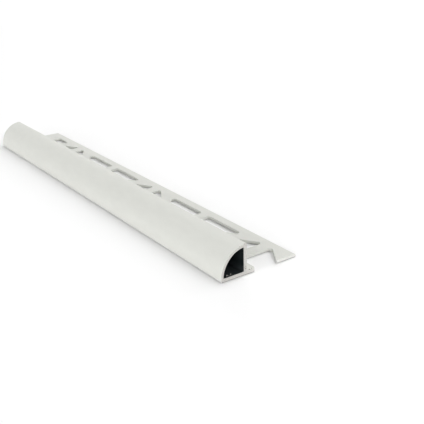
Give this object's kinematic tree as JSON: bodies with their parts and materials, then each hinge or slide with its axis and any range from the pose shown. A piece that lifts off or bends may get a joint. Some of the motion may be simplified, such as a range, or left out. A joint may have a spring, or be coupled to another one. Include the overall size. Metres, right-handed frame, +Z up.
{
  "type": "tile edge trim",
  "caption": "Hollow quarter-round edge trim with a flat flange of rounded triangular holes, bedded in adhesive under a tile to finish and protect the tile's edge.",
  "frame": {"origin": "middle of the footprint, on the resting face", "axes": "+Z up from the resting face, +X from the rounded toe to the flange's outer edge, Y along the length with the near sawn end at -Y"},
  "size_m": [0.0302, 0.1876, 0.0108],
  "materials": {
    "light_grey_plastic": "smooth extruded rigid plastic, through-coloured light warm grey, low sheen"
  },
  "bodies": {
    "root": {"edge_trim": "light_grey_plastic"}
  },
  "joints": []
}
